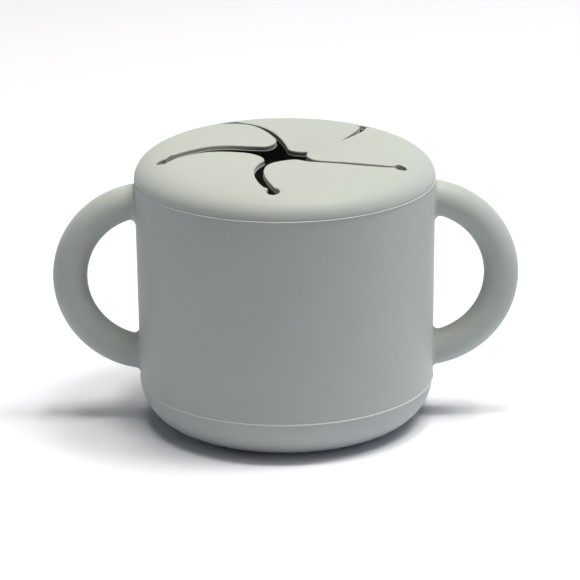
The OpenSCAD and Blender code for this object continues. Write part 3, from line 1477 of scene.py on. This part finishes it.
    def build(self) -> None:
        """Builds the ring as one closed skin, carried round the cuts.

        The plug's bore and the corner over it get painted shade, as they lie in shadow behind
        the slits.
        """
        lid = self.lid
        outline, fade, seam = self.stations()
        edge = CutEdge(lid, outline, fade, lid.crown, self.under)
        opened = edge.plan[:, :-1]
        crown = self.outward_rows(opened[0], seam)
        profile = self.ring_profile()
        skirt = np.concatenate(
            [
                np.broadcast_to(polar(profile[:, :1], seam[None]), (len(profile), len(seam), 2)),
                np.broadcast_to(profile[:, 1:, None], (len(profile), len(seam), 1)),
            ],
            axis=-1,
        )
        inner = self.inward_rows(seam, opened[-1])
        wall = edge.points[::-1][1:, :-1]
        parts = [lift(crown, lid.crown(crown)), skirt, lift(inner, self.under(inner)), wall]
        points = close(np.concatenate(parts))
        normals = np.zeros_like(points)
        gentle = crown[: self.gentle_rows]
        normals[: len(gentle)] = close(facing_up(gentle, lid.crown))
        painted_light_and_shade = np.zeros(points.shape[:2])
        bore_end = len(crown) + len(profile)
        # Painted shade on the plug's bore and the corner over it.
        painted_light_and_shade[bore_end - self.bore_rows + 1 : bore_end + self.corner_rows] = -1.0
        # The cut's side takes its painted highlight and painted shade from the edge.
        painted_light_and_shade[-len(wall) :] = edge.painted_light_and_shade[::-1][1:]
        Skin(points, normals, painted_light_and_shade).build("lid_crown_ring", "lid", lid.finish, "lid_ring")


@dataclass(frozen=True)
class Viewpoint:
    """The photograph's camera.

    Attributes:
        place: Where it stands, in metres.
        pitch: How far it looks down.
        yaw: How far it looks to the right of +Y.
        roll: How far it leans to the right.
        lens: Focal length for the sensor's width, in millimetres.
        sensor: The sensor's width.
    """

    place: tuple[float, float, float] = (0.0, -0.8516, 0.3268)
    pitch: float = math.radians(18.80)
    yaw: float = math.radians(0.080)
    roll: float = math.radians(0.494)
    lens: float = 197.68
    sensor: float = 36.0

    def build(self) -> None:
        """Makes the scene's camera from its three axes."""
        ahead = Vector(
            (
                math.sin(self.yaw) * math.cos(self.pitch),
                math.cos(self.yaw) * math.cos(self.pitch),
                -math.sin(self.pitch),
            )
        )
        level = Vector((math.cos(self.yaw), -math.sin(self.yaw), 0.0))
        down = ahead.cross(level)
        right = math.cos(self.roll) * level + math.sin(self.roll) * down
        up = math.sin(self.roll) * level - math.cos(self.roll) * down
        data = bpy.data.cameras.new("camera")
        data.lens, data.sensor_width = self.lens, self.sensor
        data.clip_start, data.clip_end = 0.01, 20.0
        camera = placed("camera", data)
        axes = Matrix((right, up, -ahead)).transposed()
        camera.matrix_world = Matrix.Translation(self.place) @ axes.to_4x4()
        bpy.context.scene.camera = camera


@dataclass(frozen=True)
class Softbox:
    """An oblong studio lamp that faces the cup, with its width level.

    Attributes:
        name: Name of the lamp.
        place: Where it hangs, in metres.
        width: Its level side, in metres.
        depth: Its other side, in metres.
        power: Its power in watts.
        colour: Its light.
    """

    name: str
    place: tuple[float, float, float]
    width: float
    depth: float
    power: float
    colour: tuple[float, float, float]

    def build(self) -> None:
        """Hangs the lamp and turns it to the cup's middle."""
        aim = Vector((0.0, 0.0, 0.04))
        data = bpy.data.lights.new(self.name, "AREA")
        data.shape, data.size, data.size_y = "RECTANGLE", self.width, self.depth
        data.energy, data.color = self.power, self.colour
        lamp = placed(self.name, data)
        lamp.location = self.place
        lamp.rotation_euler = (aim - Vector(self.place)).to_track_quat("-Z", "Y").to_euler()


# The lamps overhead are a little warm, and those low down and behind are bluish.
KEY = (1.0, 1.0, 0.965)
COOL = (0.56, 0.74, 1.0)


@dataclass
class Studio:
    """Pale floor, plain surroundings, soft lamps and the camera.

    Attributes:
        floor_reach: Half the floor's side, in metres.
        floor_shade: The floor's colour as it lights the cup, near it.
        floor_far: The same further off, where the paper lies in less light.
        floor_fade: Distances from the cup between which the one turns into the other.
        floor_seen: Its colour as the camera sees it.
        ambient: Strength of the plain surroundings.
        ambient_colour: Their colour.
        lamps: The softboxes.
        camera: The camera.
    """

    floor_reach: float = 4.0
    floor_shade: tuple[float, float, float] = (0.84, 0.85, 0.97)
    floor_far: tuple[float, float, float] = (0.64, 0.65, 0.74)
    floor_fade: tuple[float, float] = (0.07, 0.32)
    floor_seen: tuple[float, float, float] = (0.96, 0.94, 0.98)
    ambient: float = 0.002
    ambient_colour: tuple[float, float, float] = (1.0, 1.0, 1.0)
    lamps: tuple[Softbox, ...] = (
        Softbox("overhead_left", (-0.2, -0.05, 1.3), 0.3, 0.18, 2.7, KEY),
        Softbox("overhead", (0.1, -0.05, 1.3), 0.3, 0.18, 6.0, KEY),
        Softbox("overhead_right", (0.4, -0.05, 1.3), 0.3, 0.18, 3.6, KEY),
        Softbox("overhead_far_right", (0.7, -0.05, 1.3), 0.3, 0.18, 2.2, KEY),
        Softbox("behind", (0.25, 0.3, 1.25), 1.4, 0.28, 5.8, KEY),
        Softbox("before", (0.35, -0.28, 1.25), 1.0, 0.2, 3.1, KEY),
        Softbox("right_fill", (1.3, -0.3, 0.05), 0.7, 0.09, 1.6, COOL),
        Softbox("left_fill", (-1.3, -0.3, 0.05), 0.7, 0.09, 0.5, COOL),
        Softbox("front_fill", (0.0, -1.4, 0.05), 0.7, 0.09, 0.6, COOL),
        Softbox("right_rim", (1.1, 0.8, 0.2), 0.6, 0.3, 2.1, COOL),
        Softbox("left_rim", (-1.1, 0.8, 0.2), 0.6, 0.3, 1.1, COOL),
    )
    camera: Viewpoint = Viewpoint()

    def build(self) -> None:
        """Builds the floor, surroundings, lamps and camera."""
        self.build_floor()
        self.build_surroundings()
        for lamp in self.lamps:
            lamp.build()
        self.camera.build()
        bpy.context.scene.view_settings.view_transform = "Standard"

    def build_floor(self) -> None:
        """Lays a flat pale floor just under the cup's foot."""
        below, cells = 0.02 * MM, 9
        line = np.linspace(-self.floor_reach, self.floor_reach, cells)
        x, y = np.meshgrid(line, line)
        corners = np.stack([x, y, np.full_like(x, -below)], axis=-1).reshape(-1, 3)
        mesh = bpy.data.meshes.new("studio_floor")
        mesh.from_pydata(corners.tolist(), [], grid_faces(cells, cells)[:, ::-1].tolist())
        material = bpy.data.materials.new("floor_paint")
        material.use_nodes = True
        graph = Graph(material.node_tree)
        near, far, seen = (
            (*colour, 1.0) for colour in (self.floor_shade, self.floor_far, self.floor_seen)
        )
        place = graph.node("ShaderNodeTexCoord").outputs["Object"]
        away = graph.number("ShaderNodeVectorMath", {"operation": "LENGTH"}, {0: place}, "Value")
        start, end = self.floor_fade
        fade = graph.number(
            "ShaderNodeMapRange", None, {"Value": away, "From Min": start, "From Max": end}
        )
        colour = graph.blended(graph.looked_at(), graph.blended(fade, near, far), seen)
        shader = graph.node(
            "ShaderNodeBsdfPrincipled", None, {"Base Color": colour, "Specular IOR Level": 0.0}
        )
        graph.node("ShaderNodeOutputMaterial", None, {"Surface": shader.outputs[0]})
        mesh.materials.append(material)
        placed("studio_floor", mesh)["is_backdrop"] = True

    def build_surroundings(self) -> None:
        """Lights the scene plainly from all round, and shows white wherever it is seen."""
        world = bpy.data.worlds.new("studio")
        world.use_nodes = True
        graph = Graph(world.node_tree)
        plain = (*self.ambient_colour, 1.0), self.ambient
        white = (1.0, 1.0, 1.0, 1.0), 1.0
        light, backdrop = (
            graph.node("ShaderNodeBackground", None, {"Color": colour, "Strength": strength})
            for colour, strength in (plain, white)
        )
        mixed = graph.node(
            "ShaderNodeMixShader",
            None,
            {0: graph.looked_at(), 1: light.outputs[0], 2: backdrop.outputs[0]},
        )
        graph.node("ShaderNodeOutputWorld", None, {"Surface": mixed.outputs[0]})
        bpy.context.scene.world = world


def main() -> None:
    """Loads the frame, builds the lid, the cup and the studio."""
    logging.basicConfig(level=logging.INFO, format="%(name)s %(message)s")
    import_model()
    cad_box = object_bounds()
    sage = {
        "shade": linear(173, 177, 169),
        "tint": linear(182, 186, 177),
        # Colour of the painted highlight.
        "edge": linear(212, 214, 202),
        # Tone of the painted shade.
        "painted_shade_tone": linear(112, 116, 108),
    }
    cup_finish = Silicone("cup_silicone_matte", "cup_silicone", **sage)
    lid_finish = Silicone("lid_silicone_matte", "lid_silicone", **sage)
    lid = Lid.from_frame(lid_finish)
    lid.build()
    Cup.from_frame(cup_finish, lid.radius).build()
    Studio().build()
    boxes = {"cad": cad_box, "visual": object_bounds()}
    for name, (low, high) in boxes.items():
        LOG.info("%s box %s mm", name, [round((b - a) / MM, 2) for a, b in zip(low, high)])


if __name__ == "__main__":
    main()
